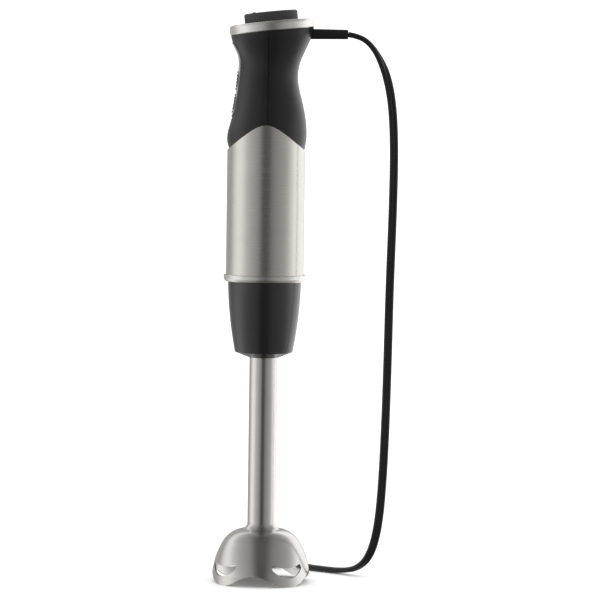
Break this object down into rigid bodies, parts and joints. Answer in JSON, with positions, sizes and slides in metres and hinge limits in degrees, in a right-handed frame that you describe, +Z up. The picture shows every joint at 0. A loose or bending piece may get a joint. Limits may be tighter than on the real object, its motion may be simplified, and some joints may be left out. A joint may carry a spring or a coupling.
{
  "type": "immersion blender",
  "caption": "Upright hand blender: steel arm with slotted blade guard, black cup, steel motor casing, black waisted grip, silver collar, ribbed dial and black mains cord.",
  "frame": {"origin": "centre of the blade guard's rim, on the arm's axis, where the blender stands", "axes": "+Z up the arm's axis to the dial, +X to the cord side, -X to the buttons"},
  "size_m": [0.1272, 0.2004, 0.4047],
  "materials": {
    "brushed_casing": "circumferentially brushed stainless steel",
    "brushed_tube": "fine brushed stainless steel",
    "satin_guard": "satin stainless steel",
    "silver_trim": "satin silver",
    "black_shell": "fine-textured soft black",
    "black_cup": "satin black",
    "charcoal_dial": "fine matt charcoal",
    "button_grey": "satin dark grey",
    "cord_black": "smooth black PVC",
    "plug_black": "moulded black PVC",
    "tie": "plain off-white plastic",
    "brass": "bright",
    "bronze": "sintered bronze",
    "machined_steel": "ground",
    "blade_steel": "ground and sharpened",
    "screw_steel": "zinc plated",
    "can_steel": "plated sheet steel",
    "magnet": "ferrite",
    "lamination": "stacked steel sheets",
    "copper": "enamelled copper wire",
    "carbon": "carbon",
    "spring_steel": "bright spring wire",
    "inner_plastic": "moulded",
    "white_plastic": "moulded",
    "seal_rubber": "silicone",
    "lip_rubber": "nitrile",
    "board": "solder resist",
    "part_black": "moulded",
    "part_yellow": "film capacitor case",
    "aluminium": "extruded"
  },
  "bodies": {
    "motor_unit": {"trim_ring": "silver_trim", "arm_socket": "inner_plastic", "socket_screws": "screw_steel", "motor_cradle": "inner_plastic", "motor_can": "can_steel", "field_magnets": "magnet", "end_bell": "white_plastic", "motor_bearings": "machined_steel", "brush_holders": "brass", "brushes": "carbon", "brush_springs": "spring_steel", "motor_casing": "brushed_casing", "grip_screws": "screw_steel", "top_collar": "silver_trim", "collar_screws": "screw_steel", "speed_potentiometer": "part_black", "potentiometer_nut": "screw_steel", "front_panel": "silver_trim", "button_frame": "inner_plastic", "power_spring": "spring_steel", "turbo_spring": "spring_steel", "circuit_board": "board", "microswitches": "part_black", "capacitor": "part_yellow", "triac": "part_black", "heatsink": "aluminium", "strain_relief": "plug_black", "inner_cord": "cord_black", "cord_clamp": "white_plastic", "clamp_screws": "screw_steel", "power_cord": "cord_black", "cord_hank": "cord_black", "hank_tie": "tie", "plug_body": "plug_black", "plug_blades": "brass", "front_grip": "black_shell", "rear_grip": "black_shell"},
    "rotor": {"motor_shaft": "machined_steel", "rotor_core": "lamination", "rotor_windings": "copper", "commutator": "copper", "cooling_fan": "white_plastic", "drive_coupling": "white_plastic"},
    "arm_gasket": {"socket_gasket": "seal_rubber"},
    "arm": {"arm_cup": "black_cup", "arm_cap": "inner_plastic", "arm_tube": "brushed_tube", "blade_guard": "satin_guard", "bush_holders": "inner_plastic", "shaft_bushes": "bronze", "lip_seal": "lip_rubber"},
    "cutter": {"drive_shaft": "machined_steel", "driven_coupling": "white_plastic", "shaft_clip": "spring_steel", "blade": "blade_steel", "blade_nut": "machined_steel"},
    "dial": {"speed_dial": "charcoal_dial", "dial_stem": "machined_steel"},
    "power_key": {"power_button": "button_grey"},
    "turbo_key": {"turbo_button": "button_grey"}
  },
  "joints": [
    {"name": "motor_spin", "type": "hinge", "parent": "motor_unit", "child": "rotor", "pos_m": [0, 0, 0.26], "axis": [0, 0, 1], "continuous": true},
    {"name": "arm_twist", "type": "hinge", "parent": "motor_unit", "child": "arm_gasket", "pos_m": [0, 0, 0.2234], "axis": [0, 0, -1], "range_deg": [0, 105]},
    {"name": "arm_draw", "type": "slide", "parent": "arm_gasket", "child": "arm", "axis": [0, 0, -1], "range_m": [0, 0.0105]},
    {"name": "shaft_draw", "type": "slide", "parent": "rotor", "child": "cutter", "axis": [0, 0, -1], "range_m": [0, 0.0105]},
    {"name": "dial_turn", "type": "hinge", "parent": "motor_unit", "child": "dial", "pos_m": [0.0033, 0, 0.3892], "axis": [-0.108, 0, 0.9942], "range_deg": [0, 270]},
    {"name": "power_press", "type": "slide", "parent": "motor_unit", "child": "power_key", "axis": [1, 0, 0], "range_m": [0, 0.0015], "stiffness_N_per_m": 900, "springref_m": -0.0015, "deforming": ["power_spring"]},
    {"name": "turbo_press", "type": "slide", "parent": "motor_unit", "child": "turbo_key", "axis": [1, 0, 0], "range_m": [0, 0.0015], "stiffness_N_per_m": 900, "springref_m": -0.0015, "deforming": ["turbo_spring"]}
  ],
  "couplings": [
    {"joint": "arm_draw", "follows": "arm_twist", "m_per_rad": 0.0057296},
    {"joint": "shaft_draw", "follows": "arm_twist", "m_per_rad": 0.0057296}
  ]
}
